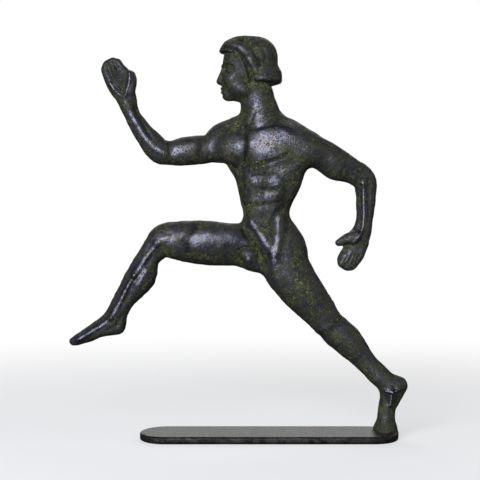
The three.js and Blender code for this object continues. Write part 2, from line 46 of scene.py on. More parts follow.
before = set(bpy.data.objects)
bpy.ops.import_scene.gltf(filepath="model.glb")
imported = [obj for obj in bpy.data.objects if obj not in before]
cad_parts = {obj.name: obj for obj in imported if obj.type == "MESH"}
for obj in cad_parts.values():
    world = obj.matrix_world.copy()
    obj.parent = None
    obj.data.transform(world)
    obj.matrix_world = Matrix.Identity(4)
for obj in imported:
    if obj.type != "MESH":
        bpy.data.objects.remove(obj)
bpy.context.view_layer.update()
NODE = "athlete_and_base"
MM = 0.001

# Limbs run through stations: x, y, z and the half thickness across the run.
RIGHT_ARM = (
    (-13, 4.4, 126.1, 6.1), (-19, 4.6, 124.5, 7.4), (-25, 3.8, 122.4, 5.9), (-30, 3, 121.9, 6.2),
    (-35.9, 2.2, 121.2, 6), (-41.3, 1.6, 120.5, 5.2), (-46, 1, 121.3, 5.3), (-49.7, 0.4, 125, 4.8),
    (-54.1, -0.4, 130.7, 3.9), (-57.5, -1.2, 136.3, 3.3), (-59.3, -1.8, 141.6, 2.8),
)
LEFT_ARM = (
    (8, -4.6, 125.1, 6.3), (14.4, -4.8, 122.3, 6.9), (21.2, -3.4, 119.9, 6.4),
    (28.1, -1.6, 115.6, 6.7), (35.1, 0.4, 112.7, 5.3), (40.1, 1.4, 109.3, 5),
    (41.1, 1.8, 103.6, 4.4), (40.8, 1.6, 97, 3.9), (40.3, 1.2, 91.6, 3.3), (39.5, 0.8, 88.1, 2.8),
)
RIGHT_LEG = (
    (-1, 3, 82, 9.1), (-11, 2.4, 81.9, 8.8), (-20, 1.6, 81.5, 8.7), (-29.9, 0.8, 82.6, 9.1),
    (-38.8, 0.2, 83.5, 8.1), (-44.1, -0.2, 83.4, 6.7), (-50.6, -0.6, 76.5, 4.9),
    (-53.9, -0.8, 68.3, 6.4), (-60.4, -0.9, 59.4, 4.7), (-64.4, -1, 52, 4.4),
)
LEFT_LEG = (
    (5.3, -1.8, 81.7, 8.9), (6.8, -1.4, 73.5, 9.8), (11.8, -1, 64.8, 9.1), (19.1, -0.6, 56.1, 7.8),
    (25.4, -0.2, 48.4, 6.2), (28.8, 0, 45, 6.6), (32.7, 0.2, 41.6, 6.4), (36, 0.2, 38, 5.7),
    (39.1, 0.2, 34.3, 4.7), (42.9, 0.1, 30.1, 4.4), (46.9, 0, 26.2, 4.5), (50.4, 0, 22.9, 4.5),
)
NECK = (
    (-5.7, 0.4, 148, 6.6), (-4.5, 0.3, 141.4, 7.5), (-3.4, 0.2, 136, 8.2), (-3.6, 0.4, 130, 8.6),
)
RIGHT_YOKE = (
    (-7.3, 1.6, 133, 4.6), (-14, 3, 130.9, 5.1), (-18.7, 4.6, 127.7, 5.7),
)
LEFT_YOKE = (
    (1.4, 1.2, 132.5, 5.1), (8.7, -0.8, 129.4, 5.2), (14.9, -3.4, 125, 4.8),
)
LIMBS = (RIGHT_ARM, LEFT_ARM, RIGHT_LEG, LEFT_LEG, NECK, RIGHT_YOKE, LEFT_YOKE)
HANDS = (
    (
        (-59.7, -1.9, 142.6, 3.2), (-61, -2, 146.1, 4.8), (-62.7, -2, 150.3, 5.9),
        (-65.6, -2, 155.2, 4.8),
    ),
    (
        (39.1, 0.6, 86.9, 3.1), (37.2, 0, 83.1, 5.1), (35.6, -0.5, 79.1, 4.7),
        (33.4, -0.8, 75.4, 4.7),
    ),
)
FEET = (
    (
        (-63.9, -1, 47.6, 3.6), (-67.7, -1, 47.7, 4.4), (-71.8, -1.1, 46.2, 3.6),
        (-75.7, -1.2, 43.9, 2.8), (-79.4, -1.2, 42.1, 1.6), (-82.4, -1.1, 40.9, 1),
    ),
    (
        (55, 0, 22.5, 3.5), (51.6, 0, 17.7, 4.2), (49.9, 0, 13.4, 3.7), (49.3, 0, 9.7, 3.7),
        (49.3, 0, 6, 4), (49.2, 0, 1.8, 4.9),
    ),
)
FINGERS = (
    ((-58.8, -2.8, 145.4, 2.5), (-57.7, -3.2, 149.7, 2.5), (-58, -3, 152.4, 2.2)),
    ((-60.4, -2, 151, 2.2), (-62.3, -2.3, 155.2, 2.1), (-63.5, -2.4, 157.8, 1.9)),
    ((-62.6, -1.8, 151.6, 2.2), (-64.5, -2.2, 156, 2.1), (-65.5, -2.4, 158.2, 1.9)),
    ((-64.8, -1.8, 150.8, 2.2), (-66.6, -2.2, 155.2, 2), (-67.3, -2.4, 157.2, 1.8)),
    ((-66.2, -2, 149.6, 2.1), (-67.8, -2.3, 153.4, 1.9), (-68.4, -2.4, 155.4, 1.7)),
    ((36.4, -1.4, 85.2, 2.7), (32.9, -1.8, 84, 2.5), (29.2, -1.8, 82.6, 1.5)),
    ((34.2, -0.8, 79, 2.3), (31.8, -1.1, 75.4, 2.2), (30.8, -1.2, 73.9, 1.9)),
    ((35.8, -0.6, 78, 2.2), (33.9, -0.9, 74.4, 2.1), (33, -1, 72.8, 1.9)),
    ((37.4, -0.6, 78.2, 2.2), (36, -0.8, 75, 2), (35.2, -0.9, 73.6, 1.8)),
    ((38.8, -0.6, 79.6, 2.1), (37.9, -0.8, 76.8, 1.9), (37.2, -0.9, 75.4, 1.7)),
)
# The trunk is a stack of level ovals: z, x, y, half width, half depth and turn in degrees.
TRUNK = (
    (64, 8, -0.6, 6, 6, 10), (72, 5.8, -0.4, 9.1, 8, 12), (80, 3.9, 0, 11.7, 9, 14),
    (86, 1.6, 0.2, 11.4, 8.6, 16), (91, -0.5, 0, 10.7, 7.8, 17), (95, -1.1, -0.2, 9.9, 7.4, 18),
    (100, -0.9, -0.4, 11.5, 7.7, 20), (105, -0.2, -0.4, 13.5, 8.2, 22),
    (110, 0, -0.2, 15.3, 8.7, 24), (116, -0.6, 0, 18.4, 9, 26), (122, -1.4, 0.2, 17.8, 9, 26),
    (128, -2.6, 0.6, 15.6, 7.8, 26), (134, -3.8, 0.8, 10.6, 5.4, 24),
)
# Muscles that stand out: centre, radii, and how far the long side leans from +X towards +Z.
MUSCLES = {
    "left chest": ((-0.6, -6.4, 122.6), (10.6, 3.8, 7.4), -6),
    "right chest": ((-14.8, -2.6, 122.2), (6.4, 4.4, 7), 6),
    "ribs": ((-2.6, -5.8, 110.4), (8, 3.6, 7.6), 0),
    "belly": ((-2.6, -4.6, 98), (7.2, 3.9, 11), 0),
    "left seat": ((7.9, 3.4, 78.4), (7.4, 6.2, 9.2), 0),
    "right seat": ((0.6, 6, 81), (8, 5, 9), 0),
    "left deltoid": ((15.4, -5, 121.3), (8.2, 6.4, 5.6), -28),
    "right deltoid": ((-19.6, 4.2, 124.9), (6.2, 6.6, 7), 0),
    "left blade": ((8, 4.8, 121), (7.4, 4.2, 9), -14),
    "right blade": ((-8, 7.4, 121.6), (7, 3.4, 9), 14),
    "right thigh front": ((-25.1, -1.2, 84.4), (16, 7, 6.6), 1),
    "right kneecap": ((-46, -1, 84.1), (3.4, 4, 3), -52),
    "left thigh front": ((12.1, -3.4, 65.9), (15, 5.6, 7.4), -56),
    "left kneecap": ((22.5, -1.2, 47.5), (3.8, 3.8, 2.6), -56),
    "loin": ((-8.4, -4.6, 76.2), (3, 3.4, 3.6), 30),
    "crotch": ((-6.9, 0.6, 73.5), (6.6, 5.6, 3), -16),
    "right toes": ((-78.2, -1.2, 43), (5.2, 4.2, 1.9), 27),
    "left toes": ((48.8, 0, 4.5), (4.4, 4.6, 2.4), 0),
}
# Strokes of the modelling tool: height, half width, and the x and z that they pass through.
FRONT_STROKES = (
    # breastbone, and the lower edge of the chest with the hollow under it
    (-0.8, 1, (-9.7, 128), (-9.6, 122), (-9.8, 116.6)),
    (-0.6, 1.1, (-8.8, 115), (-5, 114.9), (-0.9, 115.9), (4.4, 117.6), (7.6, 119.2)),
    (-0.5, 3, (-8, 112.8), (-3, 112.6), (3, 113.6), (9, 116)),
    (-0.4, 1.2, (-10.6, 116), (-13, 117), (-15.4, 118.8)),
    # collar bones, the pit between them and a sinew of the neck
    (-0.6, 1.3, (-7.8, 129.4), (-5, 129.9), (-2, 130.7), (4.2, 133.2)),
    (0.4, 2, (-5.4, 132.6), (-0.6, 133.6), (4, 135.4)),
    (0.7, 5, (-2.6, 129), (2, 129.8), (5.4, 130.4)),
    (-0.7, 1.6, (-9.4, 130.8), (-8.8, 130.4)),
    (-0.4, 1.3, (-10.6, 130.6), (-13.8, 132.2)),
    (0.25, 2, (-8.8, 133.6), (-7.6, 136.6), (-6.4, 140)),
    (-0.35, 0.9, (-7.8, 132.8), (-5.9, 137)),
    # belly: two columns of three pads, a line down the middle and one outside
    (0.2, 3.2, (0, 108), (3, 108)),
    (0.22, 2.8, (-0.8, 101.8), (2.6, 101.8)),
    (0.2, 3, (-0.4, 96.4), (2, 96)),
    (0.1, 2.8, (-6, 108), (-4.2, 108)),
    (0.1, 2.6, (-7, 101.4), (-5.2, 101.4)),
    (-0.35, 1, (-7.2, 110.4), (-5.4, 111.3), (-3, 111), (-0.8, 110.8), (2, 111.2)),
    (-0.4, 0.9, (-2.6, 104.9), (0.4, 104.6), (3.8, 105)),
    (-0.2, 0.9, (-6.6, 104.9), (-2.6, 104.9)),
    (-0.45, 0.8, (-10.8, 98.2), (-5, 98.4), (0, 99), (3.8, 99.5)),
    (-0.22, 1.3, (-1.9, 110.6), (-2.9, 104), (-2.2, 98.6), (-2, 92)),
    (-0.5, 2.6, (6.8, 107.6), (6.2, 101.8), (4.9, 97.4), (3.1, 94.4), (1.5, 91), (0.9, 87)),
    (-0.4, 0.9, (-3.6, 93.4), (-3.4, 92.8)),
    # groin: two broad bands that meet, and the hollows beside them
    (0.6, 2.6, (-8, 90.6), (-5.4, 87), (-3, 83.6), (-0.4, 80), (1.4, 77.4)),
    (0.5, 3, (4.5, 93), (3.8, 89), (3, 84.4), (2.2, 79.4), (1.6, 75)),
    (-0.4, 2.2, (-1.6, 89), (-0.4, 86), (0.4, 83)),
    (0.3, 2.8, (1.8, 74), (2, 70), (3.4, 65)),
    (-0.8, 1.6, (-10.8, 87.6), (-7.4, 83), (-4.4, 79.2), (-1.8, 75.2)),
    (-0.5, 2, (7.2, 92), (6.6, 87), (5.6, 81), (4.6, 75)),
    (-0.5, 1, (-12.6, 79.6), (-10, 80.8), (-7, 80.4)),
    (-0.4, 1, (-12.6, 79.6), (-12.8, 76.4), (-10.4, 74)),
    (-0.25, 0.9, (-11, 76), (-8.6, 77.6), (-7, 76.4), (-7.2, 74)),
    # right arm: the ridge of the forearm and the dip between shoulder and biceps
    (0.5, 2.4, (-60, 141), (-58, 137), (-56, 133.5), (-54, 130), (-51.6, 125.6), (-48, 122), (-44, 120)),
    (-0.5, 1.4, (-56.4, 139), (-53.4, 132.4), (-49.6, 127)),
    (-0.45, 2.6, (-28.8, 120), (-28.6, 124)),
    (-0.3, 1.6, (-42, 117), (-41.4, 121), (-42.6, 125)),
    # left arm: the sharp ridge of the forearm
    (0.7, 1.4, (39.4, 107.4), (39.6, 100), (39.9, 94), (39.2, 88.6), (37.6, 85), (35.4, 82.4)),
    (-0.4, 1.3, (41.5, 109), (41.7, 100), (41.5, 92)),
    # front leg: the dip above the knee, the kneecap, the shin and the calf beside it
    (-0.6, 2.2, (-30.4, 90), (-33.4, 86.4), (-35, 83), (-34, 79)),
    (0.4, 2.4, (-43, 84.4), (-46, 83)),
    (0.6, 2.2, (-47, 82), (-51.4, 76), (-56.4, 69)),
    (0.6, 1.8, (-56.4, 69), (-60.6, 61.6), (-63.2, 56), (-66, 51.4)),
    (-0.4, 1.6, (-49.2, 77), (-53, 70.6), (-57, 64.4), (-60, 58.4)),
    (0.3, 2.4, (-51.4, 71), (-54.4, 66)),
    (0.5, 1.6, (-66, 51.4), (-70, 48), (-75, 45), (-80, 42)),
    (-0.3, 1.4, (-67.4, 46.4), (-63.6, 48), (-62, 52)),
    # rear leg: the ankle bone with its pit, and the ridge that runs down the foot
    (0.6, 1, (48.4, 20.6), (51.4, 20.2), (54.4, 21)),
    (0.6, 0.9, (51.4, 20.2), (51, 17.6), (50.5, 14.4)),
    (-0.6, 1, (52, 22), (52.2, 21.8)),
    (-0.5, 1.6, (49, 17.8), (49.2, 16)),
    (-0.5, 1.6, (53.4, 18), (52.8, 15.6)),
    (-0.4, 2.2, (29.6, 49.6), (25.4, 45), (22, 44)),
    # right hand: the sunken palm, its raised rims and the lines between the fingers
    (-0.7, 4, (-63.4, 153.4), (-61.6, 147.6)),
    (0.6, 1.2, (-58.6, 154), (-57.9, 152.6), (-58.2, 150), (-59.4, 146.6), (-60.2, 143.6)),
    (0.45, 1.2, (-66.6, 148.8), (-64.4, 146.1), (-62, 144.1), (-60.2, 143)),
    (-0.5, 0.55, (-68.2, 156.2), (-66.8, 152.8), (-65.2, 149.4)),
    (-0.5, 0.55, (-67, 157.8), (-65.4, 154), (-64.6, 152)),
    (-0.5, 0.55, (-65.4, 158.4), (-63.8, 154.8)),
    (-0.4, 0.55, (-63.9, 158.2), (-62.8, 156)),
    # left hand: the lines between the fingers and the edge of the thumb
    (-0.4, 0.55, (33, 77.4), (31.4, 74.6)),
    (-0.4, 0.55, (34.6, 77.4), (32.8, 73.6)),
    (-0.4, 0.55, (36.2, 77.4), (34.8, 74)),
    (-0.35, 0.55, (37.8, 77.6), (36.6, 75)),
    (-0.4, 0.8, (31.8, 81.8), (34, 82.6)),
)
BACK_STROKES = (
    (-1, 3, (-3.6, 132), (-2.6, 118), (-1.6, 106), (-0.4, 94), (1, 87)),
    (-1.3, 1.5, (2.4, 88), (4, 80), (4.6, 72), (3.4, 66)),
    (-0.6, 1.6, (-15, 116), (-9.4, 113.4), (-5, 116)),
    (-0.6, 1.6, (14, 114.4), (8, 112), (3, 114.4)),
    (-0.8, 1.5, (1, 72.6), (10, 69.8), (17, 72.6)),
    (-0.5, 1.6, (-6, 74), (-12, 78), (-10, 88)),
    (-0.5, 1.6, (35.6, 35.6), (31.4, 41), (28, 47)),
    (-0.5, 1.6, (-46, 78), (-50, 70), (-54, 62)),
    (-0.4, 0.6, (-61.6, 153.4), (-64.4, 159.6)),
    (-0.4, 0.6, (-63.9, 152.4), (-66.9, 159.4)),
    (-0.4, 0.6, (-66, 151.4), (-68.6, 157.4)),
    (-0.35, 0.6, (34.6, 77.6), (31.6, 73.2)),
    (-0.35, 0.6, (36.2, 77.2), (33.8, 72.4)),
    (-0.35, 0.6, (37.8, 77.6), (36, 73.8)),
)
STROKE_FADE = 3  # depth over which the front strokes give way to those on the back

# Where the patina is worn off down to dark satin metal, and a painted sheen on places the key light falls on:
# amount, half width, x and z passed through
RUBBED_AND_SHEEN = (
    (0.8, 7, (-4.6, 122.6), (-0.6, 124.8), (5, 127.6), (8, 129)),
    (0.4, 4, (-4, 128.6), (4, 130.6)),
    (0.7, 3, (-12.6, 120.6), (-12.2, 127.6)),
    (0.7, 3.6, (-23.6, 120.6), (-23.6, 124.6)),
    (0.6, 4, (-4.4, 132.4), (-4.6, 137), (-5.4, 142)),
    (0.5, 3.4, (0, 114.4), (4.4, 113)),
    (0.5, 3, (-6.4, 109), (-6, 108)),
    (0.6, 3, (0.6, 108), (2.4, 107.4)),
    (0.7, 3, (-0.6, 101.8), (2.6, 101.8)),
    (0.6, 2.4, (3, 98), (1.6, 94.6)),
    (0.4, 2, (-7, 102.4), (-6.4, 101)),
    (0.8, 3, (-8.2, 90.4), (-5.2, 86.6), (-2.6, 82.6), (0.4, 78.4)),
    (0.8, 2.6, (4, 93), (3.6, 88), (2.4, 82), (1.4, 77)),
    (0.5, 3.6, (1.4, 77), (1.6, 71), (2.4, 65)),
    (0.7, 6, (-12, 84), (-20, 82.8), (-31, 83.4)),
    (0.4, 4, (-34, 87), (-41, 86.6)),
    (0.8, 4, (-42, 84.2), (-46, 83), (-51, 77), (-55, 71)),
    (0.8, 3, (-55, 71), (-60.6, 61.6), (-63.2, 56), (-66, 51.4), (-72, 47), (-79, 42.6)),
    (0.5, 3, (-52, 70), (-54.6, 65.6)),
    (0.7, 3.4, (-40, 120), (-36, 122.6), (-33, 124.4)),
    (0.7, 2.6, (-57, 136), (-54, 130), (-50.6, 124.6), (-45, 120.6)),
    (0.5, 2, (-66.6, 148.4), (-62, 143.9)),
    (0.5, 2, (-58, 153), (-59.4, 146.6)),
    (0.8, 2.4, (39.4, 107), (39.8, 94), (38, 86)),
    (0.4, 4, (20, 119.6), (24, 116.6)),
    (0.4, 3.4, (35, 80), (33.4, 76.6)),
    (0.7, 2, (48.4, 20.6), (51.4, 20.2), (54.4, 21)),
    (0.7, 2, (51.4, 20.2), (50.5, 14.4)),
    (0.3, 3, (23, 66), (28, 55)),
)
# Where the patina lies thick and yellow-green. Where the amount is less than 0 the place turns thin and dark: partly
# thin patina, partly painted shade on sides turned from the key light, such as the facet beside the left forearm's
# ridge, the torso's right side and the rear calf
THICK_AND_SHADE = (
    (0.5, 3, (0.6, 147), (0.4, 140)),
    (0.8, 2, (-13.6, 132.4), (-11, 131)),
    (0.5, 3, (-20, 127.6), (-15.4, 129.4)),
    (0.5, 2.6, (-20, 118.4), (-15.6, 118)),
    (0.9, 1.3, (-8.6, 115.8), (-4, 115.8), (0, 116.4), (4.6, 118)),
    (0.9, 1.6, (-8.6, 113.8), (-6.8, 112.6), (-1, 114)),
    (0.5, 4.4, (10, 124), (8.4, 119)),
    (0.6, 4, (10, 112), (11, 106)),
    (0.6, 4.4, (-7.6, 96.6), (-6, 91), (-1.4, 88), (0, 84)),
    (0.6, 1.2, (-10.6, 98.2), (0, 98.9)),
    (0.4, 4, (11.4, 86), (13, 79), (12.4, 74)),
    (0.6, 3, (-28.4, 89), (-26, 88.6)),
    (0.6, 3.4, (-27.6, 77.6), (-24, 76)),
    (0.5, 2.4, (-5.4, 79.4), (-4.4, 78)),
    (0.5, 4.4, (8, 65), (9, 58)),
    (0.9, 3.4, (11.6, 68.4), (14.4, 64), (15.6, 60.4), (17, 57.6)),
    (0.6, 2.6, (22, 54.6), (24.6, 52.4)),
    (0.6, 2.4, (31, 42.6), (32.6, 38)),
    (0.6, 2.4, (46.4, 30), (52, 26.8)),
    (0.7, 2, (56, 20.6), (54.6, 16), (52.6, 13.6)),
    (0.6, 2.2, (46, 4.4), (51.6, 4)),
    (0.5, 2.4, (-57, 61), (-54.6, 59)),
    (0.5, 2, (-49, 71.6), (-48.4, 67)),
    (0.4, 2.4, (-61, 50), (-61.4, 46.4)),
    (0.6, 1.8, (-30.4, 116.8), (-27, 116.6)),
    (0.6, 1.8, (-55.4, 128), (-54.4, 126.4)),
    (0.5, 2.6, (-58, 139.6), (-53.6, 133.6)),
    (0.9, 2, (-61, 147.2), (-60.6, 145)),
    (0.6, 3, (36, 109.6), (31, 110.6), (26, 111.6)),
    (0.5, 2.4, (30.4, 73.4), (36, 73)),
    (0.9, 1.8, (-7.6, 164.4), (-5.8, 162.2)),
    (0.9, 1.4, (-4.4, 163.8), (-4, 163)),
    (0.9, 1.8, (-4.2, 155.4), (-3.2, 152.8)),
    (0.4, 6, (-13, 166.4), (-6, 166.6), (-1, 165)),
    (0.6, 2.4, (-3, 148.4), (1, 147.6)),
    (-0.7, 4, (17.4, 123), (22, 120.6), (27, 118), (33, 114)),
    (-0.6, 1.6, (41.6, 110), (41.8, 101), (41.4, 91)),
    (-0.4, 3.4, (12.6, 105), (10.6, 97), (7.4, 92)),
    (-0.4, 2.4, (-9.8, 108), (-9.6, 101)),
    (-0.5, 3.4, (34, 40), (42, 32), (46, 26)),
    (-0.5, 2, (-47.6, 78), (-53, 69), (-59, 58)),
    (-0.5, 3.4, (-36, 80), (-41, 82)),
    (-0.5, 3, (0, 159), (3, 155)),
    (-0.7, 1.4, (-6, 151), (3, 150.6)),
    (-0.4, 3, (4.6, 71), (6.4, 67)),
    (-0.4, 4, (19, 70), (26, 58)),
    (-0.5, 3, (-46, 116), (-51, 119)),
)

# The head: a plain classical face, four noses high, with the eyes half way up
SKULL = ((-8.6, 0.4, 158.4), (11.8, 9.8, 11.4))
HAIR = (
    ((-13.2, 0.4, 161.6), (8, 8.8, 7.5)),
    ((-4.2, 0.4, 161), (7.7, 9, 7.9)),
    ((-3.2, 0.4, 151.8), (8.8, 9.5, 9)),
)
HAIRLINE = {"x": -19.6, "z": 149.4, "radius": 13.2, "lift": 1, "nape": 149.6}
HEAD_MIDDLE = 0.4
FACE = (
    ((-12.6, 0.4, 152), (7.3, 7.5, 10), 0),
    ((-17.2, 0.4, 144.9), (2.6, 3, 2.7), 0),
    ((-12.6, -4.2, 147.4), (6, 3, 3.2), -30),
    ((-12.6, 5, 147.4), (6, 3, 3.2), -30),
    ((-15, -4.4, 151.4), (3.6, 3, 3.4), 0),
    ((-15, 5.2, 151.4), (3.6, 3, 3.4), 0),
    ((-18.9, 0.4, 147.4), (1.3, 2.5, 0.8), 0),
    ((-18.6, 0.4, 145.9), (1.3, 2.1, 0.8), 0),
)
NOSE = ((-18.2, 0.4, 156.4, 1.5), (-20.4, 0.4, 150.7, 1.7))
NOSE_WING = ((-19.3, 1.35, 150.3), (1.4, 0.9, 0.9))
EYE = {"x": -16.2, "apart": 3.7, "z": 155, "radius": 2.1}
SOCKET = (-1.3, 3, (-18.4, 2.4, 155.4), (-16.6, 5.6, 155))
# Strokes on the face, seen from in front of it: height, half width, distance aside and height up
FACE_STROKES = (
    (0.45, 1.1, (0.9, 156.9), (3.2, 158.2), (6.2, 157.3)),
    (0.3, 0.5, (2, 154.8), (3.6, 155.9), (5.4, 154.9)),
    (0.25, 0.5, (2, 154.8), (3.7, 154.1), (5.4, 154.9)),
    (-0.25, 0.45, (2, 155.7), (3.6, 156.8), (5.6, 155.8)),
    (-0.4, 0.5, (0, 146.7), (1.4, 146.8), (2.8, 146.4)),
    (-0.25, 0.5, (0, 149.2), (0, 148.2)),
    (-0.35, 0.9, (0, 144.9), (1.8, 144.8)),
    (-0.4, 0.5, (0.75, 149.7), (0.95, 149.7)),
)
# Strokes on the hair, seen from the side
HAIR_STROKES = (
    # the groove that frames the face, the cord before it and the roll behind it
    (-0.7, 1.1, (-19, 164.2), (-16.5, 163.7), (-13.4, 162), (-11.4, 159.6), (-9.8, 156.8), (-8.6, 154), (-7, 150)),
    (0.35, 1.1, (-18, 162.4), (-15, 161.6), (-12.8, 159.8), (-11, 156.8), (-9.8, 153.4), (-9, 150)),
    (0.5, 2.2, (-14.6, 165.4), (-11.4, 163.4), (-9.2, 160.8), (-7.8, 158), (-6.8, 155.6), (-5.6, 153.4)),
    (-0.45, 0.8, (-10.4, 159.6), (-8.6, 160.5), (-6.4, 160.8)),
    (-0.45, 1.3, (-12, 167), (-8.6, 165), (-6.2, 161.4), (-4.8, 157.6), (-4, 154.6)),
    # deep nicks behind the roll, curls above the nape and the rolled hem
    (-0.5, 1, (-5.6, 159.4), (-4.2, 158.4), (-3.4, 156)),
    (-0.25, 1.1, (-4, 164), (-2, 161.6), (-1.6, 158.4)),
    (-0.15, 0.9, (-2.4, 155.8), (0.6, 156.4), (4, 155.4)),
    (-0.2, 0.9, (-1.8, 152.8), (0.2, 154.2), (4, 153.6)),
    (-0.2, 0.9, (-5.4, 151.8), (-2, 151.9), (2.4, 151.8)),
)
BASE = {"length": 108.6, "depth": 26, "thickness": 3, "end": 11, "edge": 0.6}


def melt(a, b, k):
    """The nearer of two forms, which run into each other within k"""
    h = np.maximum(k - np.abs(a - b), 0) / k
    return np.minimum(a, b) - h * h * k / 4


def keep(a, b, k):
    """What two forms share, with its edge softened over k"""
    return -melt(-a, -b, k)


def along(rows, i, t):
    """The row at share t of the way from row i to the next, on a smooth curve through the rows"""
    last = len(rows) - 1
    p, q, r, s = (np.array(rows[min(max(n, 0), last)], float) for n in (i - 1, i, i + 1, i + 2))
    return q + t * (r - p + t * (2 * p - 5 * q + 4 * r - s + t * (3 * q - p - 3 * r + s))) / 2


def tube(stations, depth=1.0, steps=4):
    """A limb through its stations, thinner front to back by depth: its box and its distance"""
    rows = [along(stations, i, s / steps) for i in range(len(stations) - 1) for s in range(steps)]
    rows = np.array(rows + [np.array(stations[-1], float)])
    squeeze = np.array((1, 1 / depth, 1))

    def distance(p):
        nearest = np.full(len(p), 1e3)
        for a, b in zip(rows[:-1], rows[1:]):
            u = (b[:3] - a[:3]) * squeeze
            v = (p - a[:3]) * squeeze
            t = np.clip(v @ u / (u @ u), 0, 1)
            gap = np.sqrt(((v - t[:, None] * u) ** 2).sum(1)) - a[3] - t * (b[3] - a[3])
            nearest = np.minimum(nearest, gap)
        return nearest * min(depth, 1)

    reach = rows[:, 3:]
    return (rows[:, :3] - reach).min(0), (rows[:, :3] + reach).max(0), distance


def oval(centre, radii, lean=0):
    """A muscle's oval, its long side leant from +X towards +Z: its box and its distance"""
    c, s = math.cos(math.radians(lean)), math.sin(math.radians(lean))
    radii = np.array(radii, float)

    def distance(p):
        x, y, z = (p - centre).T
        q = np.stack((x * c + z * s, y, z * c - x * s), 1) / radii
        reach = np.sqrt((q**2).sum(1))
        return reach * (reach - 1) / np.maximum(np.sqrt(((q / radii) ** 2).sum(1)), 1e-6)

    return np.array(centre) - radii.max(), np.array(centre) + radii.max(), distance


def stack(rows):
    """The trunk's level ovals: its box and its distance"""
    heights = [row[0] for row in rows]
    fine = []
    for z in range(int(heights[0]), int(heights[-1]) + 1):
        i = min(sum(h <= z for h in heights) - 1, len(rows) - 2)
        fine.append(along(rows, i, (z - heights[i]) / (heights[i + 1] - heights[i])))
    fine = np.array(fine)

    def distance(p):
        x, y, z = p.T
        _, cx, cy, rx, ry, turn = (np.interp(z, fine[:, 0], column) for column in fine.T)
        c, s = np.cos(np.radians(turn)), np.sin(np.radians(turn))
        qx, qy = ((x - cx) * c - (y - cy) * s) / rx, ((x - cx) * s + (y - cy) * c) / ry
        reach = np.hypot(qx, qy)
        side = reach * (reach - 1) / np.maximum(np.hypot(qx / rx, qy / ry), 1e-6)
        return keep(side, np.maximum(heights[0] - z, z - heights[-1]), 3)

    wide = fine[:, 3:4].max()
    low = np.array((fine[:, 1].min() - wide, -wide, heights[0]))
    return low, np.array((fine[:, 1].max() + wide, wide, heights[-1])), distance


def stroke(q, height, width, *path):
    """How far a stroke raises or sinks the skin at points q, which have as many axes as its path"""
    nearest = np.full(len(q), 1e6)
    path = np.array(path, float)
    for a, b in zip(path[:-1], path[1:]):
        u = b - a
        t = np.clip((q - a) @ u / (u @ u), 0, 1)
        nearest = np.minimum(nearest, ((q - a - t[:, None] * u) ** 2).sum(1))
    return height * np.maximum(1 - nearest / width**2, 0) ** 2


def melted(skin, p, forms, k):
    """The skin with forms melted in, each worked out only near its own box"""
    for low, high, distance in forms:
        near = np.flatnonzero(((p > low - k - 1) & (p < high + k + 1)).all(1))
        if len(near):
            skin[near] = melt(skin[near], distance(p[near]), k)
    return skin


def strokes_on(skin, q, weight, strokes):
    """The skin with strokes drawn on it, each worked out only near its own path"""
    for height, width, *path in strokes:
        points = np.array(path, float)
        near = ((q > points.min(0) - width) & (q < points.max(0) + width)).all(1)
        near = np.flatnonzero(near & (weight > 0))
        if len(near):
            skin[near] -= weight[near] * stroke(q[near], height, width, *path)
    return skin


BODY = [tube(limb, 0.92) for limb in LIMBS] + [tube(hand, 0.5) for hand in HANDS]
BODY += [tube(foot) for foot in FEET] + [stack(TRUNK)] + [oval(*form) for form in MUSCLES.values()]
DIGITS = [tube(finger) for finger in FINGERS]


def locks(p):
    """The relief of the hair: broad wavy locks that fall from the crown and die out at the edges"""
    x, y, z = (p - (-5.4, HEAD_MIDDLE, 157.5)).T
    down = np.arctan2(np.hypot(x, y), z + 0.25 * x)
    turn = np.arctan2(y, x + 0.15 * z)
    wave = turn + 0.22 * np.sin(3.6 * down) + 0.06 * np.sin(8 * down + 2 * turn)
    parting = 1 - np.abs(np.sin(7.5 * wave))
    strand = np.cos(30 * wave)
    rim = np.hypot(p[:, 0] - HAIRLINE["x"], p[:, 2] - HAIRLINE["z"]) - HAIRLINE["radius"]
    edge = np.minimum(rim - 1.5, p[:, 2] - HAIRLINE["nape"] - 0.8)
    full = np.clip((down - 0.3) / 0.6, 0, 1) * np.clip(edge / 3, 0, 1)
    return full * (0.06 + 0.06 * strand - 0.24 * parting**3)


def head(p):
    """The distance from the head: a face, and a cap of hair with a rolled edge"""
    (centre, radii), line = SKULL, HAIRLINE
    skull = oval(centre, [r - line["lift"] for r in radii])[2](p)
    skin = melted(skull, p, [oval(*form) for form in FACE], 1.6)
    skin = melted(skin, p, [tube(NOSE)], 1)
    (wx, wy, wz), wing = NOSE_WING
    mirrored = p * (1, 1, 1)
    mirrored[:, 1] = np.abs(p[:, 1] - HEAD_MIDDLE)
    skin = melted(skin, mirrored, [oval((wx, wy, wz), wing)], 0.5)
    skin = strokes_on(skin, mirrored, np.ones(len(p)), [SOCKET])
    ball = oval((EYE["x"], EYE["apart"], EYE["z"]), [EYE["radius"]] * 3)
    skin = melted(skin, mirrored, [ball], 0.3)
    facing = np.clip((-13 - p[:, 0]) / 2, 0, 1)
    skin = strokes_on(skin, mirrored[:, 1:], facing, FACE_STROKES)
    side = line["radius"] - np.hypot(p[:, 0] - line["x"], p[:, 2] - line["z"])
    hair = np.full(len(p), 1e3)
    for form in [SKULL, *HAIR]:
        hair = melt(hair, oval(*form)[2](p), 1.4)
    hair = hair - locks(p)
    hair = keep(keep(hair, side, 1.1), line["nape"] - p[:, 2], 1.1)
    skin = np.minimum(skin, hair)
    flank = p[:, ::2]
    return strokes_on(skin, flank, np.clip(mirrored[:, 1] / 3 - 0.3, 0, 1), HAIR_STROKES)


